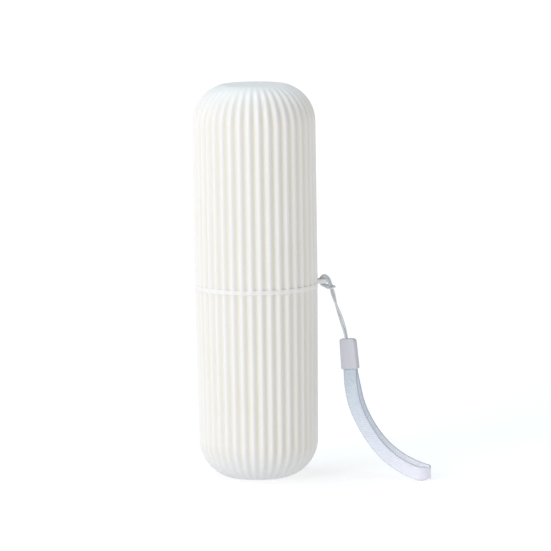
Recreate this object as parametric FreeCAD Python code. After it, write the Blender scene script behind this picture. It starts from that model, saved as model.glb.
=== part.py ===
import FreeCAD
import Part
import math
import os

# Toothbrush travel case: two fluted plastic halves that push together, and a wrist strap
# that hangs from a lug on the cover. Millimetres, +Z up. The origin is the centre of the
# flat base, the lug points along +X and the strap hangs down beside the case.

V = FreeCAD.Vector
UP = V(0, 0, 1)
CENTRE = V(0, 0, 0)

# Outer form of the two halves
case_height = 208.0
parting_height = 100.3
cover_radius = 32.5
rim_step = 0.1
cup_draft = 0.8
end_disc_radius = 17.2
shoulder_radius = 20.7

# Ribs round both halves: crest to valley, and what is left of that at the end discs
rib_count = 40
rib_depth = 1.1
disc_rib_depth = 0.12
shoulder_section_count = 7

# Walls behind the rib valleys, shoulders and ends, and the fit of the cover on the cup's neck
cover_wall = 1.4
corner_wall = 3.7
end_wall = 2.2
fit_clearance = 0.3
bead_rise = 0.2
bead_width = 1.6
bead_place_share = 0.55
neck_wall = 1.2
neck_height = 14.0
neck_root = 2.0
neck_lead = 0.8

# Plain ring round the cover's rim, just proud of the rib crests
ring_height = 2.4
ring_proud = 0.05

# Lug on the rim: a flat tab with an upright eye, whose outer bar the cord goes round
lug_thickness = 2.3
lug_low = 1.8
lug_radius = 2.95
lug_root_depth = 1.7
lug_root_half_width = 3.6
eye_reach = 1.9
eye_radius = 1.45

# Strap: the bearing is how far it turns from +X towards the front, in degrees
strap_bearing = 24.0
cord_diameter = 1.1
strand_half_gap = 0.6
bend_run_share = 0.45

# Cord route from the lug's bar as (out, up): the hitch, and the loop over the bar and back
hitch_place = (3.5, -3.7)
cord_loop = [(2.43, 1.58), (-0.66, 2.82), (-2.88, 0.35), (-1.31, -2.59)]
hitch_half_width = 1.75
hitch_inner_run = 1.6
hitch_outer_run = 1.3

# Cord route below the hitch, as (out along the bearing, down from the bar)
cord_hang = [(5.9, 11.5), (9.5, 21.2)]

# Clip between cord and webbing, seen along the strap
ferrule_reach = 12.4
ferrule_drop = 30.25
ferrule_tilt = 4.4
ferrule_length = 16.1
ferrule_top_width = 8.6
ferrule_mouth_width = 9.4
ferrule_thickness = 4.0
ferrule_edge = 1.2
ferrule_top_wall = 1.4
ferrule_clearance = 0.1
cord_lead_out = 2.0
cord_entry = -0.9

# Knot that stops the cord in the clip
knot_radius = 1.3
knot_length = 2.6

# Webbing loop
webbing_width = 7.4
webbing_thickness = 0.8
webbing_layer_gap = 0.2
webbing_hold = 6.5
webbing_floor_gap = 0.1

# Webbing route below the clip, as (out along the bearing, height, half the layers' distance)
webbing_route = [
    (14.6, 48.6, 2.3),
    (16.8, 38.0, 2.5),
    (21.6, 28.2, 2.6),
    (27.9, 19.3, 3.0),
    (35.3, 12.2, 3.7),
    (44.0, 7.0, 4.5),
]
fold_reach = 53.3
fold_radius = 5.0
fold_section_count = 7

# How far cutting tools run past what they cut
overrun = 1.0

cup_rim_radius = cover_radius - rim_step
cup_foot_radius = cup_rim_radius - cup_draft
cover_bore_radius = cover_radius - rib_depth - cover_wall
bore_round = shoulder_radius - corner_wall
eye_distance = cover_radius + eye_reach
bar_reach = eye_distance + (eye_radius + lug_radius) / 2
bar_height = parting_height + lug_low + lug_thickness / 2
neck_radius = cover_bore_radius - fit_clearance - bead_rise
cup_bore_radius = neck_radius - neck_wall
cord_radius = cord_diameter / 2


def polar(radius, angle, height):
    return V(radius * math.cos(angle), radius * math.sin(angle), height)


def rib_arc_radius(crest, valley):
    """Radius of the crest and valley arcs, equal and tangent to each other."""
    cosine = math.cos(math.pi / rib_count)
    square = 2 * cosine - 2
    linear = -2 * (1 + cosine) * (crest - valley)
    constant = crest**2 + valley**2 - 2 * cosine * crest * valley
    return (-linear - math.sqrt(linear**2 - 4 * square * constant)) / (2 * square)


def fluted_wire(crest, depth, height):
    """Closed outline of arcs that swing between crest and valley, a valley facing +X."""
    valley = crest - depth
    arc = rib_arc_radius(crest, valley)
    half_pitch = math.pi / rib_count
    edges = []
    for step in range(2 * rib_count):
        angle = step * half_pitch
        is_crest = step % 2 == 1
        centre = crest - arc if is_crest else valley + arc
        beside = valley + arc if is_crest else crest - arc
        middle = polar(crest if is_crest else valley, angle, height)
        ends = []
        for side in (-1, 1):
            own = polar(centre, angle, height)
            next_one = polar(beside, angle + side * half_pitch, height)
            ends.append((own + next_one) * 0.5)
        edges.append(Part.Arc(ends[0], middle, ends[1]).toShape())
    return Part.Wire(edges)


def shoulder_height(crest):
    """Height of the shoulder arc between the wall and the end disc."""
    inset = end_disc_radius - (crest - shoulder_radius)
    return math.sqrt(shoulder_radius**2 - inset**2)


def shoulder(crest, wall_end, direction):
    """Domed end: fluted sections that shrink along an arc while the ribs run out."""
    centre = crest - shoulder_radius
    last_angle = math.acos((end_disc_radius - centre) / shoulder_radius)
    wires = []
    for step in range(shoulder_section_count):
        angle = last_angle * step / (shoulder_section_count - 1)
        radius = centre + shoulder_radius * math.cos(angle)
        share = (radius - end_disc_radius) / (crest - end_disc_radius)
        depth = disc_rib_depth + (rib_depth - disc_rib_depth) * share
        height = wall_end + direction * shoulder_radius * math.sin(angle)
        wires.append(fluted_wire(radius, depth, height))
    return Part.makeLoft(wires, True, False)


def revolved(profile):
    """Solid of revolution about the case's axis from (radius, height) corners and arcs."""
    edges = []
    for start, end in zip(profile, profile[1:] + profile[:1]):
        first = V(start[0], 0, start[1])
        last = V(end[0], 0, end[1])
        if len(end) == 4:
            edges.append(Part.Arc(first, V(end[2], 0, end[3]), last).toShape())
        else:
            edges.append(Part.LineSegment(first, last).toShape())
    return Part.Face(Part.Wire(edges)).revolve(CENTRE, UP, 360)


def bore(radius, mouth, floor):
    """Inside of a half: a straight bore whose far end is rounded like the shoulder."""
    inward = math.copysign(bore_round, mouth - floor)
    slant = math.sqrt(0.5)
    middle_radius = radius - bore_round * (1 - slant)
    middle_height = floor + inward * (1 - slant)
    return revolved([
        (0, mouth),
        (radius, mouth),
        (radius, floor + inward),
        (radius - bore_round, floor, middle_radius, middle_height),
        (0, floor),
    ])


def neck():
    """Spigot on the cup's rim, with a lead-in and a low bead that the cover grips."""
    top = parting_height + neck_height
    bead = parting_height + bead_place_share * neck_height
    return revolved([
        (0, parting_height - neck_root),
        (neck_radius, parting_height - neck_root),
        (neck_radius, bead - bead_width / 2),
        (neck_radius, bead + bead_width / 2, neck_radius + bead_rise, bead),
        (neck_radius, top - neck_lead),
        (neck_radius - neck_lead / 2, top),
        (0, top),
    ])


def lower_cup():
    wall_end = shoulder_height(cup_foot_radius)
    foot = fluted_wire(cup_foot_radius, rib_depth, wall_end)
    rim = fluted_wire(cup_rim_radius, rib_depth, parting_height)
    wall = Part.makeLoft([foot, rim], True, True)
    outside = wall.fuse([shoulder(cup_foot_radius, wall_end, -1), neck()])
    mouth = parting_height + neck_height + overrun
    return outside.cut(bore(cup_bore_radius, mouth, end_wall))


def lug():
    """Flat tab that narrows from its root to a round end about its upright eye."""
    eye = V(eye_distance, 0, parting_height + lug_low)
    root = cover_radius - lug_root_depth
    corners = [V(root, side * lug_root_half_width, eye.z) for side in (-1, 1)]
    touch = []
    for corner, side in zip(corners, (-1, 1)):
        away = corner - eye
        angle = math.atan2(away.y, away.x) - side * math.acos(lug_radius / away.Length)
        touch.append(eye + polar(lug_radius, angle, 0))
    tip = eye + V(lug_radius, 0, 0)
    outline = Part.Wire([
        Part.LineSegment(corners[0], touch[0]).toShape(),
        Part.Arc(touch[0], tip, touch[1]).toShape(),
        Part.LineSegment(touch[1], corners[1]).toShape(),
        Part.LineSegment(corners[1], corners[0]).toShape(),
    ])
    tab = Part.Face(outline).extrude(UP * lug_thickness)
    start = eye - UP * overrun
    return tab.cut(Part.makeCylinder(eye_radius, lug_thickness + 2 * overrun, start))


def upper_cover():
    wall_end = case_height - shoulder_height(cover_radius)
    wall_start = parting_height + ring_height / 2
    section = Part.Face(fluted_wire(cover_radius, rib_depth, wall_start))
    wall = section.extrude(V(0, 0, wall_end - wall_start))
    ring = Part.makeCylinder(cover_radius + ring_proud, ring_height, V(0, 0, parting_height))
    outside = wall.fuse([shoulder(cover_radius, wall_end, 1), ring, lug()])
    mouth = parting_height - overrun
    return outside.cut(bore(cover_bore_radius, mouth, case_height - end_wall))


def strap_point(reach, depth, height):
    """A point of the strap: out along its bearing, back from its plane, and up."""
    turn = math.radians(strap_bearing)
    x = bar_reach + reach * math.cos(turn) + depth * math.sin(turn)
    return V(x, depth * math.cos(turn) - reach * math.sin(turn), height)


def ferrule_point(along, across):
    """(reach, height) of a point in the clip, measured down its middle from its top."""
    tilt = math.radians(ferrule_tilt)
    reach = ferrule_reach + along * math.sin(tilt) + across * math.cos(tilt)
    height = bar_height - ferrule_drop - along * math.cos(tilt) + across * math.sin(tilt)
    return reach, height


def rounded_path(points):
    """Straight runs joined by tangent arcs, each as large as its two runs allow."""
    edges = []
    radii = []
    start = points[0]
    for before, corner, after in zip(points, points[1:], points[2:]):
        back = before - corner
        ahead = after - corner
        shorter = min(back.Length, ahead.Length)
        half_turn = (math.pi - back.getAngle(ahead)) / 2
        setback = bend_run_share * shorter
        radius = setback / math.tan(half_turn)
        back.normalize()
        ahead.normalize()
        middle = back + ahead
        middle.normalize()
        bulge = radius / math.cos(half_turn) - radius
        arc_start = corner + back * setback
        arc_end = corner + ahead * setback
        edges.append(Part.LineSegment(start, arc_start).toShape())
        edges.append(Part.Arc(arc_start, corner + middle * bulge, arc_end).toShape())
        radii.append(round(radius, 2))
        start = arc_end
    edges.append(Part.LineSegment(start, points[-1]).toShape())
    return Part.Wire(edges), radii


def cord_points():
    """Route of the cord: both strands rise through the hitch, pass over the bar and join."""
    knot_along = ferrule_top_wall + ferrule_clearance
    bar = V(bar_reach, 0, bar_height)
    hitch = bar + V(hitch_place[0], 0, hitch_place[1])
    rise = hitch - strap_point(cord_hang[0][0], 0, bar_height - cord_hang[0][1])
    outward = V(rise.z, 0, -rise.x)
    outward.normalize()
    strands = []
    for side in (-1, 1):
        beside = side * strand_half_gap
        strand = []
        for along in (knot_along, -cord_lead_out):
            reach, height = ferrule_point(along, cord_entry)
            strand.append(strap_point(reach, beside, height))
        for reach, drop in cord_hang[::-1]:
            strand.append(strap_point(reach, beside, bar_height - drop))
        for out, up in [hitch_place] + cord_loop:
            strand.append(bar + V(out, beside, up))
        flank = hitch + V(0, side * hitch_half_width, 0)
        strand.append(flank - outward * hitch_inner_run)
        strand.append(flank + outward * hitch_outer_run)
        strands.append(strand)
    return strands[0] + strands[1][::-1]


def strap_cord():
    """The doubled cord and the knot that its two ends make."""
    path, radii = rounded_path(cord_points())
    direction = path.Edges[0].tangentAt(path.Edges[0].FirstParameter)
    start = path.Edges[0].Vertexes[0].Point
    section = Part.Wire([Part.makeCircle(cord_radius, start, direction)])
    tube = path.makePipeShell([section], True, False)
    share = tube.Volume / (math.pi * cord_radius**2 * path.Length)
    print("cord length", round(path.Length, 2), "radii", radii, "volume share", round(share, 4))
    reach, height = ferrule_point(ferrule_top_wall + ferrule_clearance, cord_entry)
    top = strap_point(reach, 0, height)
    knot = Part.makeCylinder(knot_radius, knot_length, top, -direction)
    return tube.fuse(knot)


def on_ferrule(shape):
    """Carries a shape from the clip's own frame, +Z up from its top, to its place."""
    shape.rotate(CENTRE, V(0, 1, 0), -ferrule_tilt)
    shape.rotate(CENTRE, UP, -strap_bearing)
    shape.translate(strap_point(ferrule_reach, 0, bar_height - ferrule_drop))
    return shape


def centred_box(width, depth, low, high):
    return Part.makeBox(width, depth, high - low, V(-width / 2, -depth / 2, low))


def ferrule_halves():
    """Front and back shells of the clip, with room for the knot and the webbing's ends."""
    half_depth = ferrule_thickness / 2
    corners = [
        V(-ferrule_top_width / 2, -half_depth, 0),
        V(ferrule_top_width / 2, -half_depth, 0),
        V(ferrule_mouth_width / 2, -half_depth, -ferrule_length),
        V(-ferrule_mouth_width / 2, -half_depth, -ferrule_length),
    ]
    outline = Part.makePolygon(corners + corners[:1])
    block = Part.Face(outline).extrude(V(0, ferrule_thickness, 0))
    rounded = [edge for edge in block.Edges if edge.CenterOfMass.z > -ferrule_length]
    block = block.makeFillet(ferrule_edge, rounded)
    room = 2 * ferrule_clearance
    slot_depth = 2 * webbing_thickness + webbing_layer_gap + room
    slot_top = webbing_hold + ferrule_clearance - ferrule_length
    slot = centred_box(webbing_width + room, slot_depth, -ferrule_length - overrun, slot_top)
    chamber = Part.makeCylinder(
        knot_radius + ferrule_clearance,
        -ferrule_top_wall - slot_top,
        V(cord_entry, 0, -ferrule_top_wall),
        -UP,
    )
    hole_depth = 2 * strand_half_gap + cord_diameter + room
    hole = centred_box(cord_diameter + room, hole_depth, -ferrule_top_wall - overrun, overrun)
    hole.translate(V(cord_entry, 0, 0))
    hollow = block.cut([slot, chamber, hole])
    width = ferrule_mouth_width + 2 * overrun
    halves = []
    for side in (-1, 1):
        keep = centred_box(width, ferrule_thickness, -ferrule_length - overrun, overrun)
        keep.translate(V(0, side * half_depth, 0))
        halves.append(on_ferrule(hollow.common(keep)))
    return halves


def webbing_stations():
    """Middle points of the webbing as (reach, depth, height), from one end to the other."""
    held = webbing_layer_gap / 2 + webbing_thickness / 2
    near = []
    for along in (ferrule_length - webbing_hold, ferrule_length):
        reach, height = ferrule_point(along, 0)
        near.append((reach, -held, height))
    for reach, height, half_gap in webbing_route:
        near.append((reach, -half_gap, height))
    low = webbing_width / 2 + webbing_floor_gap
    fold = []
    for step in range(fold_section_count):
        angle = math.pi * (step / (fold_section_count - 1) - 0.5)
        reach = fold_reach + fold_radius * math.cos(angle)
        fold.append((reach, fold_radius * math.sin(angle), low))
    far = [(reach, -depth, height) for reach, depth, height in near[::-1]]
    return near, fold, far


def webbing_section(before, here, after, edgewise):
    """Flat cross-section of the band, square to its run; edgewise points across the band."""
    run = strap_point(*after) - strap_point(*before)
    flat = edgewise.cross(run)
    flat.normalize()
    centre = strap_point(*here)
    across = edgewise * (webbing_width / 2)
    through = flat * (webbing_thickness / 2)
    corners = [
        centre - across - through,
        centre + across - through,
        centre + across + through,
        centre - across + through,
    ]
    return Part.makePolygon(corners + corners[:1])


def wrist_webbing():
    """One band folded into a loop: its width turns with the hanging line of the strap."""
    near, fold, far = webbing_stations()
    turn = math.radians(strap_bearing)
    outward = V(math.cos(turn), -math.sin(turn), 0)
    edgewise = []
    line = near + fold[:1]
    for index in range(len(near)):
        before = line[max(index - 1, 0)]
        after = line[index + 1]
        slope = math.atan2(before[2] - after[2], after[0] - before[0])
        edgewise.append(outward * math.sin(slope) + UP * math.cos(slope))
    directions = edgewise + [UP] * len(fold) + edgewise[::-1]
    stations = near + fold + far
    wires = []
    for index, here in enumerate(stations):
        before = stations[max(index - 1, 0)]
        after = stations[min(index + 1, len(stations) - 1)]
        wires.append(webbing_section(before, here, after, directions[index]))
    return Part.makeLoft(wires, True, True)


def main():
    front, back = ferrule_halves()
    parts = {
        "lower_cup": lower_cup(),
        "upper_cover": upper_cover(),
        "strap_cord": strap_cord(),
        "ferrule_front": front,
        "ferrule_back": back,
        "wrist_webbing": wrist_webbing(),
    }
    os.makedirs("parts", exist_ok=True)
    for name, shape in parts.items():
        solids = shape.Solids
        print(name, len(solids), "solid", round(shape.Volume, 1), "mm3", shape.isValid())
        solids[0].exportStep(os.path.join("parts", name + ".step"))


main()
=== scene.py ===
import math

import bmesh
import bpy
from mathutils import Matrix, Vector


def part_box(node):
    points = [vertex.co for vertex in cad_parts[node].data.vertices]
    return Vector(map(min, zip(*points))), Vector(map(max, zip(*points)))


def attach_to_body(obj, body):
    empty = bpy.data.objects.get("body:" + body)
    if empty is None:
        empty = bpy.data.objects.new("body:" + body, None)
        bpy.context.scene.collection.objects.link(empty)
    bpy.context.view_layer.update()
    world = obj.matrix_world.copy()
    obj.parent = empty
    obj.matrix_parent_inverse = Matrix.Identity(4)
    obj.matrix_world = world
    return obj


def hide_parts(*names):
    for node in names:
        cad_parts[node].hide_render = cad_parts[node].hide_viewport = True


bl_info = {
    "name": "Toothbrush travel case",
    "version": (1, 0, 0),
    "blender": (4, 5, 0),
    "location": "View3D > Sidebar > Travel case",
    "description": "Dresses the travel case: ribbed halves, lug, cord, clip and wrist webbing",
    "category": "Object",
}

# Metres, +Z up. The origin is the centre of the flat base, the strap hangs on the +X side
# and the camera stands on the -Y side.
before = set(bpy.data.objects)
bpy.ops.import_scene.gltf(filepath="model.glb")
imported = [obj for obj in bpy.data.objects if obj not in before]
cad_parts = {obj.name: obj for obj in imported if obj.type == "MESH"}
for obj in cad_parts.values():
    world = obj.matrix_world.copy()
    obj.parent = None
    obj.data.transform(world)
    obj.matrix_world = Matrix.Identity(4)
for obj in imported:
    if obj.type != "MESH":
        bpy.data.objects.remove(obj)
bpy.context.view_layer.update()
COVER_LOW, COVER_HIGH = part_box("upper_cover")

MM = 0.001


def length(name, description, millimetres):
    """A length that the sidebar shows in scene units."""
    shown = {"precision": 5, "unit": "LENGTH", "subtype": "DISTANCE"}
    return bpy.props.FloatProperty(
        name=name, description=description, default=millimetres * MM, **shown
    )


def number(name, description, default):
    return bpy.props.FloatProperty(name=name, description=description, default=default, precision=4)


def angle(name, description, degrees):
    turn = math.radians(degrees)
    return bpy.props.FloatProperty(
        name=name, description=description, default=turn, unit="ROTATION", subtype="ANGLE"
    )


def count(name, description, default):
    return bpy.props.IntProperty(name=name, description=description, default=default, min=1)


def colour(name, description, default):
    shown = {"size": 3, "min": 0.0, "max": 1.0, "subtype": "COLOR"}
    return bpy.props.FloatVectorProperty(
        name=name, description=description, default=default, **shown
    )


class CaseSettings(bpy.types.PropertyGroup):
    """Sizes and colours of the two ribbed halves and the lug."""

    case_height: length("Case height", "Height of the closed case", COVER_HIGH.z / MM)
    parting: length("Parting", "Height at which the halves meet", COVER_LOW.z / MM)
    cover_radius: length("Cover radius", "Rib crests of the cover", 32.5)
    rim_step: length("Rim step", "How far the cup's crests stand back at the rim", 0.1)
    cup_draft: length("Cup draft", "How much the cup narrows to its foot", 0.8)
    end_disc: length("End disc", "Radius of the flat discs at both ends", 17.2)
    shoulder: length("Shoulder", "Radius of the rounded shoulders", 20.7)
    rib_count: count("Ribs", "Ribs round the case", 40)
    rib_depth: length("Rib depth", "Crest to valley", 1.1)
    disc_rib_depth: length("Run-out", "Rib depth left at the end discs", 0.12)
    wall: length("Wall", "Wall behind the rib valleys of the cover", 1.4)
    corner_wall: length("Corner wall", "Wall at the shoulders", 3.7)
    end_wall: length("End wall", "Thickness of the end discs", 2.2)
    fit: length("Fit", "Clearance of the cover on the neck's bead", 0.3)
    bead: length("Bead", "Rise of the bead on the neck", 0.2)
    bead_width: length("Bead width", "Width of the bead on the neck", 1.6)
    bead_place: number("Bead place", "How far up the neck the bead lies, as a share", 0.55)
    neck_wall: length("Neck wall", "Wall of the neck", 1.2)
    neck_height: length("Neck height", "Height of the neck above the parting", 14.0)
    neck_lead: length("Neck lead", "Slope at the neck's top", 0.8)
    ring_height: length("Ring height", "Plain ring round the cover's rim", 2.4)
    ring_proud: length("Ring rise", "How far the ring stands out from the crests", 0.05)
    ring_flute: number("Ring flute", "How much of the ribs shows through the ring", 0.35)
    edge: length("Edge", "Rounding of the moulded edges", 0.25)
    lug_low: length("Lug height", "Underside of the lug above the parting", 1.8)
    lug_thickness: length("Lug thickness", "Thickness of the lug", 2.3)
    lug_radius: length("Lug radius", "Round end of the lug", 2.95)
    lug_root_depth: length("Lug root", "How deep the lug sits in the wall", 1.7)
    lug_root_half_width: length("Lug root width", "Half the lug's width at its root", 3.6)
    eye_reach: length("Eye reach", "Middle of the eye beyond the crests", 1.9)
    eye_radius: length("Eye radius", "Radius of the lug's eye", 1.45)
    plastic: colour("Plastic", "Moulded white of the halves", (0.87, 0.852, 0.847))
    # Painted shade: a cool grey that darkens the foot towards the floor.
    painted_foot_shade: colour("Foot", "Cool grey that the foot has taken on", (0.64, 0.65, 0.665))
    # Shared by the random mottle and the painted shade in the rib valleys.
    plastic_mottle_and_valley_shade: colour("Plastic shade", "The white where it is greyest", (0.785, 0.735, 0.58))


class StrapSettings(bpy.types.PropertyGroup):
    """Sizes and colours of the cord, the clip and the webbing."""

    bearing: angle("Bearing", "How far the strap turns from +X towards the front", 24.0)
    cord_diameter: length("Cord", "Diameter of the cord", 1.1)
    strand_half_gap: length("Strand gap", "Half the distance between the two strands", 0.6)
    twist_turns: number("Twist", "Turns of the strands about each other", 1.0)
    cord_lay: length("Lay", "Length of one turn of the cord's plies", 2.6)
    cord_relief: length("Cord relief", "Height of the cord's plies", 0.055)
    clip_reach: length("Clip reach", "Clip's top beyond the lug's bar", 12.4)
    clip_drop: length("Clip drop", "Clip's top below the lug's bar", 30.25)
    clip_tilt: angle("Clip tilt", "Lean of the clip", 4.4)
    clip_length: length("Clip length", "Length of the clip", 16.1)
    clip_top_width: length("Clip top", "Width at the cord's end", 8.6)
    clip_mouth_width: length("Clip mouth", "Width at the webbing's end", 9.4)
    clip_thickness: length("Clip thickness", "Thickness of both halves together", 4.0)
    clip_bevel: length("Clip bevel", "Bevel along the clip's faces", 0.5)
    clip_top_bevel: length("Top bevel", "Height of the bevel along the clip's top", 1.0)
    clip_outer_corner: length("Outer corner", "Rounding of the top corner away from the case", 1.8)
    clip_inner_corner: length("Inner corner", "Rounding of the top corner towards the case", 0.8)
    clip_top_wall: length("Clip wall", "Wall at the cord's hole", 1.4)
    clip_room: length("Clip room", "Clearance inside the clip", 0.1)
    clip_seam: length("Clip seam", "Bevel where the clip's halves meet", 0.12)
    clip_lip: length("Clip lip", "Rounding round the clip's mouth", 0.3)
    cord_entry: length("Cord entry", "Cord's place across the clip's top", -0.9)
    knot_radius: length("Knot", "Radius of the knot in the clip", 1.3)
    webbing_width: length("Webbing", "Width of the webbing", 7.4)
    webbing_thickness: length("Webbing thickness", "Thickness of one layer", 0.8)
    webbing_layer_gap: length("Layer gap", "Gap between the layers in the clip", 0.2)
    webbing_hold: length("Hold", "Webbing held in the clip", 6.5)
    webbing_floor_gap: length("Floor gap", "Room under the loop's end", 0.1)
    weave_pitch: length("Weave", "Distance between the twill's ribs", 1.5)
    weave_relief: length("Weave relief", "Height of the twill's ribs", 0.035)
    cord_colour: colour("Cord", "Yarn of the cord", (0.74, 0.78, 0.80))
    clip_colour: colour("Clip", "Plastic of the clip", (0.57, 0.585, 0.63))
    # Painted light and shade: the yarn is darker by the clip, paler at the loop's end, and paler
    # again on the inner face.
    webbing_shaded_colour: colour("Webbing", "Yarn of the webbing by the clip", (0.585, 0.65, 0.705))
    webbing_end_painted_light: colour("Webbing end", "Yarn of the webbing at the loop's end", (0.86, 0.855, 0.96))
    lining_painted_light: colour("Lining", "Inner face by the clip", (0.8, 0.885, 0.99))
    lining_end_painted_light: colour("Lining end", "Inner face at the loop's end", (0.92, 0.92, 0.99))
    webbing_edge: colour("Webbing edge", "Thin line along the webbing's edges", (0.28, 0.3, 0.34))


class StageSettings(bpy.types.PropertyGroup):
    """Camera, lights and floor."""

    view_distance: length("View distance", "Camera from the case, level", 2300.0)
    view_height: length("View height", "Camera above what it looks at", 307.0)
    aim_x: length("Aim across", "Where the middle of the picture lies", 10.2)
    aim_z: length("Aim up", "Where the middle of the picture lies", 106.45)
    roll: angle("Roll", "Lean of the picture", -0.85)
    lens: number("Lens", "Focal length in millimetres on a 36 mm sensor", 287.0)
    room: number("Room light", "Brightness all round", 0.515)
    room_colour: colour("Room colour", "White of the room", (0.965, 0.975, 1.0))
    key: number("Key light", "Power of the soft light in front on the left", 17.0)
    key_colour: colour("Key colour", "White of the light on the left", (0.975, 0.97, 1.0))
    top: number("Top light", "Power of the soft light above", 13.5)
    top_colour: colour("Top colour", "Cool white of the light above", (0.68, 0.9, 1.0))
    floor_glow: number("Floor glow", "How much the floor shines near the case", 0.6)
    far_glow: number("Far glow", "How much the floor shines far behind the case", 0.8)
    floor: colour("Floor", "Pale floor", (0.5, 0.5, 0.5))


def case():
    return bpy.context.scene.travel_case


def strap():
    return bpy.context.scene.travel_case_strap


# Node trees: small helpers


def join(tree, output, target):
    tree.links.new(output, target)


def feed(tree, socket, value):
    """Sets a socket to a value, or links another node's output to it."""
    if isinstance(value, bpy.types.NodeSocket):
        join(tree, value, socket)
    else:
        socket.default_value = value


def fill(tree, node, **inputs):
    """Fills a node's inputs; a socket's name has an underscore for each space."""
    for label, value in inputs.items():
        feed(tree, node.inputs[label.replace("_", " ")], value)


def add(tree, kind, mode=None, **inputs):
    """Makes a node, fills its inputs and returns its first output."""
    node = tree.nodes.new(kind)
    if mode:
        node.mode = mode
    fill(tree, node, **inputs)
    return node.outputs[0]


def math_node(tree, operation, *values):
    node = tree.nodes.new("ShaderNodeMath")
    node.operation = operation
    for socket, value in zip(node.inputs, values):
        feed(tree, socket, value)
    return node.outputs[0]


def times(tree, first, second):
    return math_node(tree, "MULTIPLY", first, second)


def plus(tree, first, second):
    return math_node(tree, "ADD", first, second)


def wave(tree, turns, shape="COSINE"):
    """A wave that repeats at every whole number of turns."""
    return math_node(tree, shape, times(tree, turns, math.tau))


def component(tree, vector, axis):
    return add(tree, "ShaderNodeSeparateXYZ", Vector=vector).node.outputs[axis]


def vector_node(tree, operation, *vectors, scale=None):
    node = tree.nodes.new("ShaderNodeVectorMath")
    node.operation = operation
    for socket, value in zip(node.inputs, vectors):
        feed(tree, socket, value)
    if scale is not None:
        feed(tree, node.inputs["Scale"], scale)
    return node.outputs["Value" if operation == "LENGTH" else "Vector"]


def spread(tree, value, low, high, start=0.0, stop=1.0):
    """Goes from low to high while the value goes from start to stop."""
    limits = {"From_Min": start, "From_Max": stop, "To_Min": low, "To_Max": high}
    return add(tree, "ShaderNodeMapRange", Value=value, **limits)


def new_tree(name, *numbers, **others):
    """A geometry tree with named inputs; returns it with its group input and output."""
    tree = bpy.data.node_groups.new(name, "GeometryNodeTree")
    kinds = {"Geometry": "Geometry", "Material": "Material", **others}
    kinds.update((label, "Float") for label in numbers)
    for label, kind in kinds.items():
        tree.interface.new_socket(label, in_out="INPUT", socket_type="NodeSocket" + kind)
    tree.interface.new_socket("Geometry", in_out="OUTPUT", socket_type="NodeSocketGeometry")
    return tree, tree.nodes.new("NodeGroupInput").outputs, tree.nodes.new("NodeGroupOutput").inputs


def named(tree, attribute):
    """Reads a number that the mesh carries at its points."""
    return add(tree, "GeometryNodeInputNamedAttribute", Name=attribute)


def store(tree, geometry, attribute, value):
    node = tree.nodes.new("GeometryNodeStoreNamedAttribute")
    node.data_type = "FLOAT"
    node.domain = "POINT"
    fill(tree, node, Geometry=geometry, Name=attribute, Value=value)
    return node.outputs["Geometry"]


def moved(tree, geometry, offset):
    return add(tree, "GeometryNodeSetPosition", Geometry=geometry, Offset=offset)


def close_tree(tree, geometry, material, output):
    """Smooth shading, real geometry and the piece's material."""
    smooth = add(tree, "GeometryNodeSetShadeSmooth", Geometry=geometry)
    real = add(tree, "GeometryNodeRealizeInstances", Geometry=smooth)
    join(tree, add(tree, "GeometryNodeSetMaterial", Geometry=real, Material=material), output)


def capture(tree, geometry, kind, value):
    """Keeps a field of a curve for the mesh that is made from it."""
    node = tree.nodes.new("GeometryNodeCaptureAttribute")
    node.capture_items.new(kind, "kept")
    join(tree, geometry, node.inputs["Geometry"])
    join(tree, value, node.inputs["kept"])
    return node.outputs["Geometry"], node.outputs["kept"]


def rib_flutes():
    """Presses ribs into a turned blank, as deep as each point's rib share says."""
    tree, given, output = new_tree("rib flutes", "Rib Depth", Ribs="Int")
    place = tree.nodes.new("GeometryNodeInputPosition").outputs[0]
    turn = math_node(tree, "ARCTAN2", component(tree, place, "Y"), component(tree, place, "X"))
    ripple = math_node(tree, "COSINE", times(tree, turn, given["Ribs"]))
    hollow = times(tree, plus(tree, ripple, 1.0), 0.5)
    hollow = times(tree, hollow, named(tree, "rib_share"))
    level = vector_node(tree, "MULTIPLY", place, (1.0, 1.0, 0.0))
    inward = times(tree, times(tree, hollow, given["Rib Depth"]), -1.0)
    offset = vector_node(tree, "SCALE", vector_node(tree, "NORMALIZE", level), scale=inward)
    # The ribs' depth is kept for the painted shade that the plastic's colour puts in the valleys.
    kept = store(tree, given["Geometry"], "hollow", hollow)
    close_tree(tree, moved(tree, kept, offset), given["Material"], output["Geometry"])
    return tree


CORD_SIDES = 21
CORD_PLIES = 3.0


def laid_cord():
    """A round cord along a line, with the relief of three plies laid round each other."""
    tree, given, output = new_tree("laid cord", "Radius", "Lay", "Relief")
    size = {"Resolution": CORD_SIDES, "Radius": given["Radius"]}
    ring = add(tree, "GeometryNodeCurvePrimitiveCircle", **size)
    parameter = tree.nodes.new("GeometryNodeSplineParameter").outputs
    line, along = capture(tree, given["Geometry"], "FLOAT", parameter["Length"])
    section, around = capture(tree, ring, "FLOAT", parameter["Factor"])
    tube = add(tree, "GeometryNodeCurveToMesh", Curve=line, Profile_Curve=section, Fill_Caps=True)
    lay = math_node(tree, "DIVIDE", along, given["Lay"])
    ply = times(tree, math_node(tree, "SUBTRACT", around, lay), CORD_PLIES)
    normal = tree.nodes.new("GeometryNodeInputNormal").outputs[0]
    height = times(tree, wave(tree, ply), given["Relief"])
    kept = store(tree, tube, "ply", ply)
    offset = vector_node(tree, "SCALE", normal, scale=height)
    close_tree(tree, moved(tree, kept, offset), given["Material"], output["Geometry"])
    return tree


STEPS_PER_TWILL = 6.0  # mesh steps from one rib of the twill to the next
TWILL_SLANT = 0.7  # ribs that a line straight across the band meets in one pitch
BAND_EDGE_STEPS = 5
BAND_EDGE_SHARE = 0.42  # rounding of the band's edges, as a share of its thickness


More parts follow.
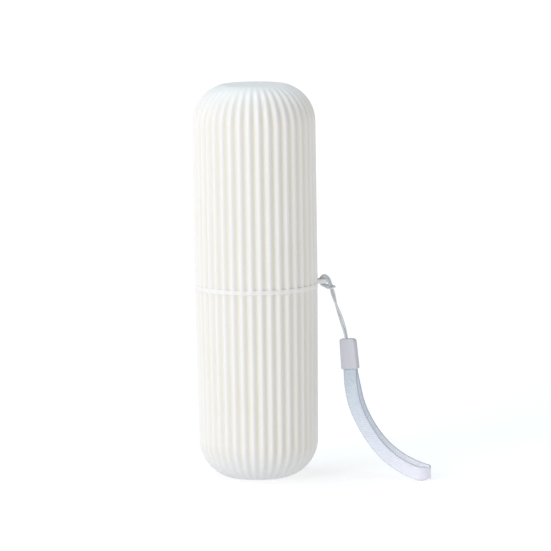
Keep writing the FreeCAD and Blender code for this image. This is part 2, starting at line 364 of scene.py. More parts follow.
def woven_band():
    """A flat band along a line, its width upright at the fold, with the slanted ribs of a twill."""
    sizes = ("Width", "Thickness", "Weave Pitch", "Weave Relief")
    bends = ("Upright Below", "Flat Above", "Fold Pinch", "Fold Reach")
    tree, given, output = new_tree("woven band", *sizes, *bends, Outward="Vector")
    step = math_node(tree, "DIVIDE", given["Weave Pitch"], STEPS_PER_TWILL)
    fine = add(tree, "GeometryNodeResampleCurve", "LENGTH", Curve=given["Geometry"], Length=step)
    place = tree.nodes.new("GeometryNodeInputPosition").outputs[0]
    height = component(tree, place, "Z")
    lean = spread(tree, height, 0.0, 1.0, start=given["Upright Below"], stop=given["Flat Above"])
    sideways = vector_node(tree, "SCALE", given["Outward"], scale=lean)
    rise = math_node(tree, "SUBTRACT", 1.0, lean)
    upright = vector_node(tree, "SCALE", (0.0, 0.0, 1.0), scale=rise)
    edgeways = vector_node(tree, "ADD", sideways, upright)
    tangent = tree.nodes.new("GeometryNodeInputTangent").outputs[0]
    face = vector_node(tree, "NORMALIZE", vector_node(tree, "CROSS_PRODUCT", tangent, edgeways))
    turned = add(tree, "GeometryNodeSetCurveNormal", "FREE", Curve=fine, Normal=face)
    parameter = tree.nodes.new("GeometryNodeSplineParameter").outputs
    line, along = capture(tree, turned, "FLOAT", parameter["Length"])
    line, part = capture(tree, line, "FLOAT", parameter["Factor"])
    widthways = vector_node(tree, "CROSS_PRODUCT", tangent, face)
    line, widthways = capture(tree, line, "VECTOR", widthways)
    size = {"Width": given["Thickness"], "Height": given["Width"]}
    outline = add(tree, "GeometryNodeCurvePrimitiveQuadrilateral", **size)
    rounding = times(tree, given["Thickness"], BAND_EDGE_SHARE)
    soft = {"Curve": outline, "Count": BAND_EDGE_STEPS, "Radius": rounding}
    outline = add(tree, "GeometryNodeFilletCurve", "POLY", **soft)
    rows = add(tree, "GeometryNodeResampleCurve", "LENGTH", Curve=outline, Length=step)
    section, spot = capture(tree, rows, "VECTOR", place)
    band = add(tree, "GeometryNodeCurveToMesh", Curve=line, Profile_Curve=section, Fill_Caps=True)
    across = component(tree, spot, "Y")
    through = math_node(tree, "DIVIDE", component(tree, spot, "X"), given["Thickness"])
    weft = math_node(tree, "DIVIDE", along, given["Weave Pitch"])
    warp = math_node(tree, "DIVIDE", across, given["Weave Pitch"])
    weave = wave(tree, plus(tree, weft, times(tree, warp, TWILL_SLANT)), "SINE")
    fields = {"weave": weave, "across": across, "through": through, "part": part}
    for label, value in fields.items():
        band = store(tree, band, label, value)
    from_fold = math_node(tree, "SUBTRACT", part, 0.5)
    from_fold = math_node(tree, "DIVIDE", from_fold, given["Fold Reach"])
    fall = times(tree, math_node(tree, "POWER", from_fold, 2.0), -1.0)
    pinch = times(tree, math_node(tree, "EXPONENT", fall), times(tree, given["Fold Pinch"], -1.0))
    drawn_in = vector_node(tree, "SCALE", widthways, scale=times(tree, pinch, across))
    normal = tree.nodes.new("GeometryNodeInputNormal").outputs[0]
    raised = vector_node(tree, "SCALE", normal, scale=times(tree, weave, given["Weave Relief"]))
    offset = vector_node(tree, "ADD", drawn_in, raised)
    close_tree(tree, moved(tree, band, offset), given["Material"], output["Geometry"])
    return tree


def seen_mesh(obj):
    """A mesh of an object as it stands, its modifiers and curves worked out."""
    bpy.context.view_layer.update()
    seen = obj.evaluated_get(bpy.context.evaluated_depsgraph_get())
    return bpy.data.meshes.new_from_object(seen)


def baked(obj, tree, values, name):
    """Runs a geometry tree on an object and returns the result as a plain mesh object."""
    modifier = obj.modifiers.new(tree.name, "NODES")
    modifier.node_group = tree
    for item in tree.interface.items_tree:
        if item.in_out == "INPUT" and item.name in values:
            modifier[item.identifier] = values[item.name]
    mesh = seen_mesh(obj)
    bpy.data.objects.remove(obj)
    return placed(name, mesh)


def placed(name, data):
    obj = bpy.data.objects.new(name, data)
    bpy.context.scene.collection.objects.link(obj)
    return obj


def skinned(shape, loops):
    """Faces from each loop of points to the next one, all of the same count."""
    for here, after in zip(loops, loops[1:]):
        for step in range(len(here)):
            ahead = (step + 1) % len(here)
            shape.faces.new([here[step], here[ahead], after[ahead], after[step]])


def finished_mesh(shape, name):
    """Turns the faces outwards and hands over a plain mesh."""
    bmesh.ops.recalc_face_normals(shape, faces=shape.faces)
    mesh = bpy.data.meshes.new(name)
    shape.to_mesh(mesh)
    shape.free()
    return mesh


def quarter_turns(steps):
    """Angles from none to a right angle."""
    return [0.5 * math.pi * step / steps for step in range(steps + 1)]


def attach(obj, body, slot, *nodes):
    """Seats a finished piece: the body it moves with and the nodes it stands for, which it hides;
    the slot is not used.
    """
    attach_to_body(obj, body)
    if nodes:
        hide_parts(*nodes)


# Materials


def new_material(name, base, roughness):
    """A plain shader with a colour and a roughness."""
    material = bpy.data.materials.new(name)
    material.use_nodes = True
    tree = material.node_tree
    shader = tree.nodes["Principled BSDF"]
    fill(tree, shader, Base_Color=(*base, 1.0), Roughness=roughness)
    material.diffuse_color = (*base, 1.0)
    return material, tree, shader


def own_place(tree):
    """Where a point lies in the piece's own coordinates."""
    return tree.nodes.new("ShaderNodeTexCoord").outputs["Object"]


def object_noise(tree, scale, detail=3.0):
    return add(tree, "ShaderNodeTexNoise", Vector=own_place(tree), Scale=scale, Detail=detail)


def carried(tree, attribute):
    """A number that the mesh carries, for use in a shader."""
    node = tree.nodes.new("ShaderNodeAttribute")
    node.attribute_name = attribute
    return node.outputs["Fac"]


def mixed_colour(tree, share, first, second):
    """Goes from one colour to another; each is a node's output or a plain colour."""
    node = tree.nodes.new("ShaderNodeMix")
    node.data_type = "RGBA"
    join(tree, share, node.inputs["Factor"])
    sockets = [socket for socket in node.inputs if socket.type == "RGBA"]
    for socket, tint in zip(sockets, (first, second)):
        feed(tree, socket, tint if isinstance(tint, bpy.types.NodeSocket) else (*tint, 1.0))
    return next(socket for socket in node.outputs if socket.type == "RGBA")


def scatter(tree, shader, weight, radius, scale):
    """Lets light wander under the surface."""
    fill(tree, shader, Subsurface_Weight=weight, Subsurface_Radius=radius, Subsurface_Scale=scale)


def bump(tree, shader, height, distance, strength):
    normal = add(tree, "ShaderNodeBump", Height=height, Distance=distance, Strength=strength)
    fill(tree, shader, Normal=normal)


def moulded_white():
    """Satin white polypropylene: a soft mottle, painted warm shade in the rib valleys and painted
    cool shade on the foot.
    """
    settings = case()
    mottle_share, valley_shade_share, foot_shade_share = 0.25, 0.55, 0.9
    foot_shade_height = 20 * MM
    material, tree, shader = new_material("moulded_white", settings.plastic, roughness=0.42)
    mottle = times(tree, object_noise(tree, scale=45.0), mottle_share)
    # Painted shade: the rib valleys are greyed and warmed in the colour, as deep as the ribs go.
    valley = math_node(tree, "POWER", carried(tree, "hollow"), 2.0)
    grey = plus(tree, mottle, times(tree, valley, valley_shade_share))
    wall = mixed_colour(tree, grey, settings.plastic, settings.plastic_mottle_and_valley_shade)
    # Painted shade: a cool grey over the lowest 20 mm, strongest at the foot.
    foot = spread(tree, component(tree, own_place(tree), "Z"), foot_shade_share, 0.0, stop=foot_shade_height)
    tone = mixed_colour(tree, foot, wall, settings.painted_foot_shade)
    satin = spread(tree, object_noise(tree, scale=320.0), low=0.36, high=0.5)
    fill(tree, shader, Base_Color=tone, Roughness=satin)
    scatter(tree, shader, weight=0.12, radius=(1.0, 0.95, 0.85), scale=1.2 * MM)
    grain = object_noise(tree, scale=1500.0, detail=2.0)
    bump(tree, shader, grain, distance=0.02 * MM, strength=0.35)
    return material


def yarn_white():
    """Cord yarn: painted shade between the plies, with fine fibres along them."""
    base = strap().cord_colour
    ply_shade_share, ply_level, fibre_share, shade = 0.35, 0.6, 0.2, 0.72
    dark = [shade * part for part in base]
    material, tree, shader = new_material("yarn_white", base, roughness=0.7)
    # Painted shade: the colour darkens between the plies.
    light = plus(tree, times(tree, wave(tree, carried(tree, "ply")), ply_shade_share), ply_level)
    light = plus(tree, light, times(tree, object_noise(tree, scale=2600.0), fibre_share))
    fill(tree, shader, Base_Color=mixed_colour(tree, light, dark, base), Sheen_Weight=0.25)
    bump(tree, shader, object_noise(tree, scale=5200.0), distance=0.06 * MM, strength=0.6)
    return material


def clip_grey():
    """Pale grey moulded plastic with a faint spark-eroded grain."""
    base = strap().clip_colour
    fleck = (1.07, 1.0, 1.02)  # the paler flecks against the base colour
    light = [part * share for part, share in zip(base, fleck)]
    material, tree, shader = new_material("clip_grey", base, roughness=0.45)
    tone = mixed_colour(tree, object_noise(tree, scale=180.0), base, light)
    satin = spread(tree, object_noise(tree, scale=900.0), low=0.38, high=0.55)
    fill(tree, shader, Base_Color=tone, Roughness=satin)
    grain = object_noise(tree, scale=3200.0, detail=2.0)
    bump(tree, shader, grain, distance=0.03 * MM, strength=0.5)
    return material


def woven_white():
    """Webbing yarn with lighter twill ribs and dark edges; painted light makes it paler to the
    loop's end and on its inner face, painted shade darker by the clip.
    """
    settings = strap()
    fade_reach = 2.2  # 2 would fade over the whole way from the fold to the clip
    twill_share, twill_level, uneven_share = 0.05, 0.88, 0.16
    edge_sharpness = 11.0
    material, tree, shader = new_material("woven_white", settings.webbing_shaded_colour, roughness=0.75)
    # Painted shade towards the clip and painted light towards the fold; the inner face gets its own
    # lighter pair.
    from_fold = math_node(tree, "ABSOLUTE", math_node(tree, "SUBTRACT", carried(tree, "part"), 0.5))
    fade = times(tree, from_fold, fade_reach)
    outer = mixed_colour(tree, fade, settings.webbing_end_painted_light, settings.webbing_shaded_colour)
    inner = mixed_colour(tree, fade, settings.lining_end_painted_light, settings.lining_painted_light)
    inward = math_node(tree, "SUBTRACT", 0.5, carried(tree, "through"))
    light = plus(tree, times(tree, carried(tree, "weave"), twill_share), twill_level)
    light = plus(tree, light, times(tree, object_noise(tree, scale=500.0), uneven_share))
    ribbed = vector_node(tree, "SCALE", mixed_colour(tree, inward, outer, inner), scale=light)
    out = math_node(tree, "ABSOLUTE", carried(tree, "across"))
    edge = math_node(tree, "DIVIDE", out, settings.webbing_width / 2)
    edge = math_node(tree, "POWER", edge, edge_sharpness)
    yarn = mixed_colour(tree, edge, ribbed, settings.webbing_edge)
    fill(tree, shader, Base_Color=yarn, Sheen_Weight=0.3)
    scatter(tree, shader, weight=0.8, radius=(1.0, 1.0, 1.0), scale=2 * MM)
    bump(tree, shader, object_noise(tree, scale=4200.0), distance=0.05 * MM, strength=0.5)
    return material


# The ribbed halves


def cup_rim_radius():
    return case().cover_radius - case().rim_step


def cup_foot_radius():
    return cup_rim_radius() - case().cup_draft


def cover_bore_radius():
    return case().cover_radius - case().rib_depth - case().wall


def neck_radius():
    return cover_bore_radius() - case().fit - case().bead


def cup_bore_radius():
    return neck_radius() - case().neck_wall


def shoulder_line(crest, disc, inward, steps=30):
    """Corners of a half from its end disc round to its straight wall."""
    settings = case()
    run_out = settings.disc_rib_depth / settings.rib_depth
    centre = crest - settings.shoulder
    last = math.acos((settings.end_disc - centre) / settings.shoulder)
    rise = settings.shoulder * math.sin(last)
    line = []
    for step in range(steps + 1):
        turn = last * (1 - step / steps)
        radius = centre + settings.shoulder * math.cos(turn)
        share = (radius - settings.end_disc) / (crest - settings.end_disc)
        depth_share = run_out + (1 - run_out) * share
        height = disc + inward * (rise - settings.shoulder * math.sin(turn))
        line.append((radius, height, depth_share, settings.edge if step == 0 else 0))
    return line


EDGE_SHARE = 0.45  # most of a side that one rounded corner may take


def softened(corners, steps=4):
    """Profile of (radius, height, rib share, rounding) corners with their edges rounded."""
    line = []
    for index, (radius, height, share, rounding) in enumerate(corners):
        here = Vector((radius, height))
        if rounding == 0:
            line.append((radius, height, share))
            continue
        back = Vector(corners[index - 1][:2]) - here
        ahead = Vector(corners[index + 1][:2]) - here
        setback = min(rounding, EDGE_SHARE * back.length, EDGE_SHARE * ahead.length)
        start = here + back.normalized() * setback
        end = here + ahead.normalized() * setback
        for step in range(steps + 1):
            part = step / steps
            spot = start * (1 - part) ** 2 + here * (2 * part * (1 - part)) + end * part**2
            line.append((spot.x, spot.y, share))
    return line


def bore_line(radius, floor, inward, steps=14):
    """Inside of a half from its straight bore round to the middle of its end."""
    settings = case()
    turn_radius = settings.shoulder - settings.corner_wall
    line = []
    for turn in quarter_turns(steps):
        out = radius - turn_radius * (1 - math.cos(turn))
        line.append((out, floor + inward * turn_radius * (1 - math.sin(turn)), 0, 0))
    return line + [(0, floor, 0, 0)]


def cup_profile():
    """Foot disc, shoulder, wall, rim, neck with its bead, and back down the bore."""
    settings = case()
    edge = settings.edge
    parting = settings.parting
    neck = neck_radius()
    top = parting + settings.neck_height
    bead_middle = parting + settings.bead_place * settings.neck_height
    half_bead = settings.bead_width / 2
    lead = settings.neck_lead
    corners = [(0, 0, 0, 0)] + shoulder_line(cup_foot_radius(), 0, 1)
    corners += [
        (cup_rim_radius(), parting, 1, edge),
        (neck + lead, parting, 0, 0),
        (neck, parting, 0, 2 * edge),
        (neck, bead_middle - half_bead, 0, edge),
        (neck + settings.bead, bead_middle, 0, half_bead),
        (neck, bead_middle + half_bead, 0, edge),
        (neck, top - lead, 0, edge),
        (neck - lead / 2, top, 0, edge),
        (cup_bore_radius(), top, 0, edge),
    ]
    corners += bore_line(cup_bore_radius(), settings.end_wall, 1)
    return softened(corners)


def cover_profile():
    """Top disc, shoulder, wall, ledge and ring at the rim, and back up the bore."""
    settings = case()
    edge = settings.edge
    parting = settings.parting
    crest = settings.cover_radius
    ring = crest + settings.ring_proud
    ring_top = parting + settings.ring_height
    height = settings.case_height
    corners = [(0, height, 0, 0)] + shoulder_line(crest, height, -1)
    corners += [
        (crest, ring_top + edge / 5, 1, 0),
        (crest, ring_top, 1, 0),
        (ring, ring_top, settings.ring_flute, edge),
        (ring, parting, settings.ring_flute, edge),
        (cover_bore_radius(), parting, 0, edge),
    ]
    corners += bore_line(cover_bore_radius(), height - settings.end_wall, -1)
    return softened(corners)


STEPS_PER_RIB = 16


def turned_blank(name, profile):
    """Turns a profile about the case's axis; each point keeps its rib share."""
    segments = STEPS_PER_RIB * case().rib_count
    shape = bmesh.new()
    ribs = shape.verts.layers.float.new("rib_share")
    rings = []
    for radius, height, share in profile:
        steps = segments if radius > 0 else 1
        ring = []
        for step in range(steps):
            turn = math.tau * step / steps
            vertex = shape.verts.new((radius * math.cos(turn), radius * math.sin(turn), height))
            vertex[ribs] = share
            ring.append(vertex)
        rings.append(ring)
    for low, high in zip(rings, rings[1:]):
        for step in range(segments):
            after = (step + 1) % segments
            corners = [low[step % len(low)], low[after % len(low)]]
            corners += [high[after % len(high)], high[step % len(high)]]
            shape.faces.new(list(dict.fromkeys(corners)))
    return placed(name, finished_mesh(shape, name))


def ribbed_half(name, profile):
    settings = case()
    values = {"Ribs": settings.rib_count, "Rib Depth": settings.rib_depth}
    values["Material"] = bpy.data.materials.get("moulded_white") or moulded_white()
    tree = bpy.data.node_groups.get("rib flutes") or rib_flutes()
    return baked(turned_blank(name + "_blank", profile), tree, values, name)


# The lug


def eye_middle():
    settings = case()
    out = settings.cover_radius + settings.eye_reach
    return Vector((out, 0, settings.parting + settings.lug_low))


def bar_middle():
    """Middle of the lug's outer bar, which the cord goes round."""
    settings = case()
    out = (settings.eye_radius + settings.lug_radius) / 2
    return eye_middle() + Vector((out, 0, settings.lug_thickness / 2))


def lug_reach(turn):
    """Distance from the eye's middle to the lug's outline: round end, flanks, flat root."""
    settings = case()
    root = settings.eye_reach + settings.lug_root_depth
    corner = math.atan2(settings.lug_root_half_width, -root)
    touch = corner - math.acos(settings.lug_radius / math.hypot(root, settings.lug_root_half_width))
    turn = abs(turn)
    if turn <= touch:
        return settings.lug_radius
    if turn <= corner:
        return settings.lug_radius / math.cos(turn - touch)
    return -root / math.cos(turn)


def lug_section(steps=5):
    """Round the lug's section: whether on its outline or in its eye, inset, and height."""
    thick = case().lug_thickness
    edge = 2 * case().edge
    turns = quarter_turns(steps)
    rounding = [(edge * (1 - math.cos(turn)), edge * (1 - math.sin(turn))) for turn in turns]
    upper = [(False, inset, thick - drop) for inset, drop in rounding]
    upper += [(True, -inset, thick - drop) for inset, drop in rounding[::-1]]
    return upper + [(outer, inset, thick - height) for outer, inset, height in upper[::-1]]


def lug_mesh(turns=96):
    section = lug_section()
    middle = eye_middle()
    shape = bmesh.new()
    loops = []
    for step in range(turns):
        turn = math.tau * step / turns
        reach = {True: lug_reach(math.remainder(turn, math.tau)), False: case().eye_radius}
        loop = []
        for outer, inset, height in section:
            out = (reach[outer] + inset) * Vector((math.cos(turn), math.sin(turn), 0))
            loop.append(shape.verts.new(middle + out + Vector((0, 0, height))))
        loops.append(loop)
    skinned(shape, loops + loops[:1])
    for face in shape.faces:
        face.smooth = True
    return finished_mesh(shape, "strap_lug")


# The strap


def strap_point(reach, depth, height):
    """A point of the strap: out along its bearing, back from its plane, and up."""
    turn = strap().bearing
    x = bar_middle().x + reach * math.cos(turn) + depth * math.sin(turn)
    return Vector((x, depth * math.cos(turn) - reach * math.sin(turn), height))


def clip_point(along, across):
    """(reach, height) of a point in the clip, measured down its middle from its top."""
    settings = strap()
    tilt = settings.clip_tilt
    reach = settings.clip_reach + along * math.sin(tilt) + across * math.cos(tilt)
    top = bar_middle().z - settings.clip_drop
    return reach, top - along * math.cos(tilt) + across * math.sin(tilt)


def in_clip(across, depth, along):
    reach, height = clip_point(along, across)
    return strap_point(reach, depth, height)


def drawn_curve(name, points, kind):
    """An open curve: straight from point to point, or smooth with these as its control points."""
    curve = bpy.data.curves.new(name, "CURVE")
    curve.dimensions = "3D"
    spline = curve.splines.new(kind)
    spline.points.add(len(points) - 1)
    for spot, point in zip(spline.points, points):
        spot.co = (*point, 1.0)
    if kind == "NURBS":
        curve.resolution_u = 24
        spline.order_u = 3
        spline.use_endpoint_u = True
    return placed(name, curve)


def line_points(obj):
    """The points that a spline passes through, read from the spline itself."""
    mesh = seen_mesh(obj)
    points = [vertex.co.copy() for vertex in mesh.vertices]
    bpy.data.meshes.remove(mesh)
    return points


# Cord route in millimetres from the lug's bar as (out, back, up): each strand rises through
# the hitch, goes over the bar, down through the eye and back out beside the hitch
FRONT_LOOP = [
    (2.85, -0.5, -3.7),
    (1.65, -0.65, -1.9),
    (1.35, -0.6, 0.7),
    (-0.59, -0.67, 2.17),
    (-2.47, -0.65, 0.7),
    (-3.0, -0.7, -1.6),
    (-0.22, -1.17, -2.95),
    (1.91, -1.9, -4.0),
    (4.33, -1.68, -3.23),
]
BACK_LOOP = [
    (3.4, 0.5, -3.5),
    (2.8, 0.55, -1.2),
    (1.95, 0.63, 1.5),
    (-0.7, 0.67, 3.45),
    (-3.27, 0.65, 1.06),
    (-2.88, 0.7, -1.55),
    (-0.2, 1.15, -2.1),
    (1.92, 1.88, -3.1),
    (4.33, 1.68, -3.1),
]
HITCH_CROSSING = (4.89, 0.0, -3.19)

# Cord route below the hitch, as (out along the bearing, down from the bar)
CORD_HANG = [(5.5 * MM, 11.5 * MM), (9.2 * MM, 21.2 * MM)]
CORD_LEAD_OUT = 2.0 * MM


def cord_route():
    """Both strands rise from the clip through the hitch, pass over the bar and join."""
    settings = strap()
    bar = bar_middle()
    strands = []
    for side, loop in ((-1, FRONT_LOOP), (1, BACK_LOOP)):
        beside = side * settings.strand_half_gap
        strand = []
        for along in (settings.clip_top_wall + settings.clip_room, -CORD_LEAD_OUT):
            strand.append(in_clip(settings.cord_entry, beside, along))
        for reach, drop in CORD_HANG[::-1]:
            strand.append(strap_point(reach, beside, bar.z - drop))
        strand += [bar + Vector(place) * MM for place in loop]
        strands.append(strand)
    return strands[0] + [bar + Vector(HITCH_CROSSING) * MM] + strands[1][::-1]


def twisted(points, high, low):
    """Turns the two hanging strands about their middle line between two heights."""
    turns = strap().twist_turns
    last = len(points) - 1
    middles = [(point + points[last - index]) / 2 for index, point in enumerate(points)]
    result = [point.copy() for point in points]
    for index, point in enumerate(points):
        if index > last / 2 or point.z > high:
            break
        share = min(1.0, (high - point.z) / (high - low))
        turn = math.tau * turns * math.sqrt(share)
        axis = middles[index + 1] - middles[max(index - 1, 0)]
        half = Matrix.Rotation(turn, 3, axis) @ (point - middles[index])
        result[index] = middles[index] + half
        result[last - index] = middles[index] - half
    return result


# Webbing route below the clip in millimetres, as (out along the bearing, height, half the
# layers' distance)
WEBBING_ROUTE = [
    (14.6, 48.6, 2.3),
    (16.8, 38.0, 2.5),
    (21.6, 28.2, 2.6),
    (27.9, 19.3, 3.0),
    (35.3, 12.2, 3.7),
    (44.0, 7.0, 4.5),
]
FOLD_REACH = 53.3 * MM
FOLD_RADIUS = 5.0 * MM
FOLD_POINTS = 7


def webbing_route():
    """Near layer down to the fold, round it, and the far layer back up into the clip."""
    settings = strap()
    held = (settings.webbing_layer_gap + settings.webbing_thickness) / 2
    near = []
    for along in (settings.clip_length - settings.webbing_hold, settings.clip_length):
        reach, height = clip_point(along, 0)
        near.append((reach, -held, height))
    near += [(reach * MM, -half_gap * MM, height * MM) for reach, height, half_gap in WEBBING_ROUTE]
    low = settings.webbing_width / 2 + settings.webbing_floor_gap
    fold = []
    for step in range(FOLD_POINTS):
        turn = math.pi * (step / (FOLD_POINTS - 1) - 0.5)
        fold.append((FOLD_REACH + FOLD_RADIUS * math.cos(turn), FOLD_RADIUS * math.sin(turn), low))
    far = [(reach, -depth, height) for reach, depth, height in near[::-1]]
    return [strap_point(*place) for place in near + fold + far]


# A bevel with its two corners a little rounded, as shares of its size
BEVEL_LINE = [(0.0, 1.12), (0.03, 0.97), (0.12, 0.84), (0.84, 0.12), (0.97, 0.03), (1.12, 0.0)]


def clip_half_section(side, left, right, depth, hollow):
    """Outline of one half of the clip across its length, as (across, depth) points."""
    bevel, seam = strap().clip_bevel, strap().clip_seam
    centre, inner_width, inner_depth = hollow
    points = [(right - seam, 0), (right, seam)]
    points += [(right - bevel * back, depth - bevel * rise) for back, rise in BEVEL_LINE]
    points += [(left + bevel * back, depth - bevel * rise) for back, rise in BEVEL_LINE[::-1]]
    points += [(left, seam), (left + seam, 0)]
    points += [(centre - inner_width, 0), (centre - inner_width, inner_depth)]
    points += [(centre + inner_width, inner_depth), (centre + inner_width, 0)]
    return [(across, side * deep) for across, deep in points]


def corner_inset(radius, along):
    """How far a rounded top corner stands back at a distance down the clip."""
    if along >= radius:
        return 0.0
    return radius - math.sqrt(radius**2 - (radius - along) ** 2)


def clip_half_mesh(name, side):
    """One half shell: rounded top with the cord's hole, knot room, and the webbing's slot."""
    settings = strap()
    room, lip = settings.clip_room, settings.clip_lip
    corner, length_down = settings.clip_outer_corner, settings.clip_length
    cord_room = settings.cord_diameter / 2 + room
    knot_room = settings.knot_radius + room
    slot_depth = settings.webbing_thickness + settings.webbing_layer_gap / 2 + room
    slot_top = length_down - settings.webbing_hold - room
    hole = (settings.cord_entry, cord_room, settings.strand_half_gap + cord_room)
    chamber = (settings.cord_entry, knot_room, knot_room)
    slot = (0, settings.webbing_width / 2 + room, slot_depth)
    stations = [(corner * (1 - math.cos(turn)), 0, hole) for turn in quarter_turns(8)]
    stations += [(corner, 0, chamber), (slot_top, 0, chamber), (slot_top, 0, slot)]
    for turn in quarter_turns(3):
        along = length_down - lip * (1 - math.sin(turn))
        stations.append((along, lip * (1 - math.cos(turn)), slot))
    shape = bmesh.new()
    loops = []
    for along, inset, hollow in stations:
        part = along / length_down
        width = settings.clip_top_width * (1 - part) + settings.clip_mouth_width * part
        right = width / 2 - inset - corner_inset(corner, along)
        left = corner_inset(settings.clip_inner_corner, along) + inset - width / 2
        slope = settings.clip_bevel * max(0.0, 1 - along / settings.clip_top_bevel)
        depth = settings.clip_thickness / 2 - inset - slope
        section = clip_half_section(side, left, right, depth, hollow)
        loops.append([shape.verts.new(in_clip(across, deep, along)) for across, deep in section])
    skinned(shape, loops)
    shape.faces.new(loops[0])
    shape.faces.new(loops[-1])
    bmesh.ops.remove_doubles(shape, verts=shape.verts, dist=0.001 * MM)
    return finished_mesh(shape, name)


# Operators


class TRAVELCASE_OT_lower_cup(bpy.types.Operator):
    """Make the ribbed cup with the neck that the cover goes over"""

    bl_idname = "travel_case.lower_cup"
    bl_label = "Lower cup"

    def execute(self, context):
        attach(ribbed_half("cup_body", cup_profile()), "case_base", "case_plastic", "lower_cup")
        return {"FINISHED"}


class TRAVELCASE_OT_upper_cover(bpy.types.Operator):
    """Make the ribbed cover with the plain ring at its rim"""

    bl_idname = "travel_case.upper_cover"
    bl_label = "Upper cover"

    def execute(self, context):
        attach(ribbed_half("cover_body", cover_profile()), "cover", "case_plastic", "upper_cover")
        return {"FINISHED"}


class TRAVELCASE_OT_strap_lug(bpy.types.Operator):
    """Make the flat lug with the eye that carries the strap"""

    bl_idname = "travel_case.strap_lug"
    bl_label = "Strap lug"

    def execute(self, context):
        lug = placed("strap_lug", lug_mesh())
        lug.data.materials.append(bpy.data.materials["moulded_white"])
        attach(lug, "cover", "case_plastic")
        return {"FINISHED"}


class TRAVELCASE_OT_strap_cord(bpy.types.Operator):
    """Make the doubled cord that is hitched round the lug's bar"""

    bl_idname = "travel_case.strap_cord"
    bl_label = "Strap cord"

    def execute(self, context):
        settings = strap()
        route = drawn_curve("cord_route", cord_route(), "NURBS")
        hitch_height = bar_middle().z + FRONT_LOOP[0][2] * MM
        leave = in_clip(settings.cord_entry, 0, 0)
        path = twisted(line_points(route), hitch_height, leave.z)
        bpy.data.objects.remove(route)
        values = {
            "Radius": settings.cord_diameter / 2,
            "Lay": settings.cord_lay,
            "Relief": settings.cord_relief,
            "Material": yarn_white(),
        }
        line = drawn_curve("cord_line", path, "POLY")
        cord = baked(line, laid_cord(), values, "cord_strands")
        attach(cord, "strap", "cord", "strap_cord")
        return {"FINISHED"}


class TRAVELCASE_OT_strap_clip(bpy.types.Operator):
    """Make the two halves of the clip between the cord and the webbing"""

    bl_idname = "travel_case.strap_clip"
    bl_label = "Strap clip"

    def execute(self, context):
        grey = clip_grey()
        halves = (("clip_front", -1, "ferrule_front"), ("clip_back", 1, "ferrule_back"))
        for name, side, node in halves:
            half = placed(name, clip_half_mesh(name, side))
            half.data.materials.append(grey)
            attach(half, "strap", "clip_plastic", node)
        return {"FINISHED"}


class TRAVELCASE_OT_wrist_webbing(bpy.types.Operator):
    """Make the woven webbing loop"""

    bl_idname = "travel_case.wrist_webbing"
    bl_label = "Wrist webbing"

    def execute(self, context):
        settings = strap()
        route = drawn_curve("webbing_route", webbing_route(), "NURBS")
        path = line_points(route)
        values = {
            "Width": settings.webbing_width,
            "Thickness": settings.webbing_thickness,
            "Outward": (math.cos(settings.bearing), -math.sin(settings.bearing), 0.0),
            "Upright Below": 4 * MM,
            "Flat Above": 45 * MM,
            "Fold Pinch": 0.25,
            "Fold Reach": 0.015,
            "Weave Pitch": settings.weave_pitch,
            "Weave Relief": settings.weave_relief,
            "Material": woven_white(),
        }
        webbing = baked(route, woven_band(), values, "webbing_loop")
        attach(webbing, "strap", "webbing", "wrist_webbing")
        return {"FINISHED"}


class TRAVELCASE_OT_stage(bpy.types.Operator):
    """Set the pale floor, the soft lights and the camera"""

    bl_idname = "travel_case.stage"
    bl_label = "Stage"

    def execute(self, context):
        settings = context.scene.travel_case_stage
        pale_floor(settings)
        room_light(settings)
        aim = Vector((settings.aim_x, 0, settings.aim_z))
        soft_light("key_softbox", KEY_PLACE, aim, KEY_SIZE, settings.key, settings.key_colour)
        soft_light("top_softbox", TOP_PLACE, aim, TOP_SIZE, settings.top, settings.top_colour)
        picture_camera(settings, aim)
        context.scene.view_settings.view_transform = "Standard"
        return {"FINISHED"}


# Places and sizes of the lights, and how the floor's glow grows with the distance, in metres
KEY_PLACE, KEY_SIZE = Vector((-1.52, -1.44, 0.9)), (1.0, 1.4)
TOP_PLACE, TOP_SIZE = Vector((-0.5, 0.1, 1.9)), (1.0, 1.0)
GLOW_NEAR, GLOW_FAR = 0.3, 2.5
FLOOR_HALF = 15.0


def pale_floor(settings):
    """A wide matt floor that fills the picture behind the case."""
    mesh = bpy.data.meshes.new("floor")
    corners = [(FLOOR_HALF * x, FLOOR_HALF * y, 0) for x, y in ((-1, -1), (1, -1), (1, 1), (-1, 1))]
    mesh.from_pydata(corners, [], [(0, 1, 2, 3)])
    floor = placed("floor", mesh)
    material, tree, shader = new_material("floor_paint", settings.floor, roughness=0.9)
    away = vector_node(tree, "LENGTH", own_place(tree))
    near, far = settings.floor_glow, settings.far_glow
    glow = spread(tree, away, near, far, start=GLOW_NEAR, stop=GLOW_FAR)
    fill(tree, shader, Emission_Color=(1.0, 1.0, 1.0, 1.0), Emission_Strength=glow)
    mesh.materials.append(material)


def room_light(settings):
    world = bpy.data.worlds.new("studio")
    world.use_nodes = True
    tree = world.node_tree
    fill(tree, tree.nodes["Background"], Color=(*settings.room_colour, 1.0), Strength=settings.room)
    bpy.context.scene.world = world


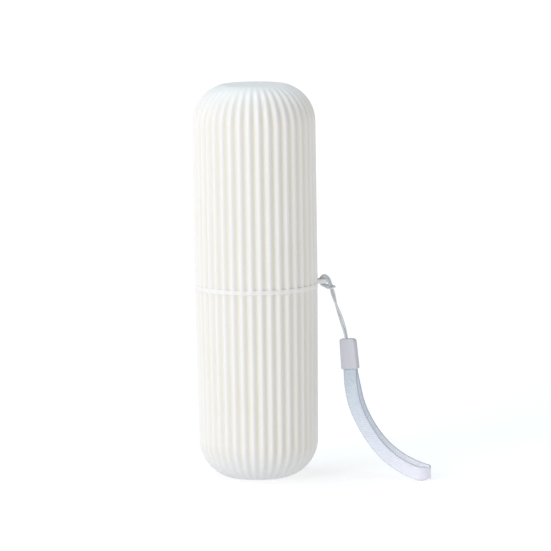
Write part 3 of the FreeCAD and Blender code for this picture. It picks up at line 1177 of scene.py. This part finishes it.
def soft_light(name, place, aim, size, power, tint):
    lamp = bpy.data.lights.new(name, "AREA")
    lamp.color = tint
    lamp.shape = "RECTANGLE"
    lamp.size, lamp.size_y = size
    lamp.energy = power
    obj = placed(name, lamp)
    obj.location = place
    obj.rotation_euler = (aim - place).to_track_quat("-Z", "Y").to_euler()


def picture_camera(settings, aim):
    data = bpy.data.cameras.new("picture")
    data.sensor_width = 36.0
    data.lens = settings.lens
    data.clip_end = 50.0
    camera = placed("picture", data)
    place = aim + Vector((0, -settings.view_distance, settings.view_height))
    look = (aim - place).to_track_quat("-Z", "Y").to_matrix()
    look = look @ Matrix.Rotation(settings.roll, 3, "Z")
    camera.matrix_world = Matrix.Translation(place) @ look.to_4x4()
    bpy.context.scene.camera = camera


OPERATORS = (
    TRAVELCASE_OT_lower_cup,
    TRAVELCASE_OT_upper_cover,
    TRAVELCASE_OT_strap_lug,
    TRAVELCASE_OT_strap_cord,
    TRAVELCASE_OT_strap_clip,
    TRAVELCASE_OT_wrist_webbing,
    TRAVELCASE_OT_stage,
)


class TRAVELCASE_PT_parts(bpy.types.Panel):
    """Lists the pieces of the travel case"""

    bl_idname = "TRAVELCASE_PT_parts"
    bl_label = "Travel case"
    bl_space_type = "VIEW_3D"
    bl_region_type = "UI"
    bl_category = "Travel case"

    def draw(self, context):
        for operator in OPERATORS:
            self.layout.operator(operator.bl_idname)


SETTINGS = {
    "travel_case": CaseSettings,
    "travel_case_strap": StrapSettings,
    "travel_case_stage": StageSettings,
}


def register():
    for name, group in SETTINGS.items():
        bpy.utils.register_class(group)
        setattr(bpy.types.Scene, name, bpy.props.PointerProperty(type=group))
    for cls in (*OPERATORS, TRAVELCASE_PT_parts):
        bpy.utils.register_class(cls)


def unregister():
    for cls in (TRAVELCASE_PT_parts, *OPERATORS[::-1]):
        bpy.utils.unregister_class(cls)
    for name, group in SETTINGS.items():
        delattr(bpy.types.Scene, name)
        bpy.utils.unregister_class(group)


def main():
    register()
    bpy.ops.travel_case.lower_cup()
    bpy.ops.travel_case.upper_cover()
    bpy.ops.travel_case.strap_lug()
    bpy.ops.travel_case.strap_cord()
    bpy.ops.travel_case.strap_clip()
    bpy.ops.travel_case.wrist_webbing()
    bpy.ops.travel_case.stage()


if __name__ == "__main__":
    main()
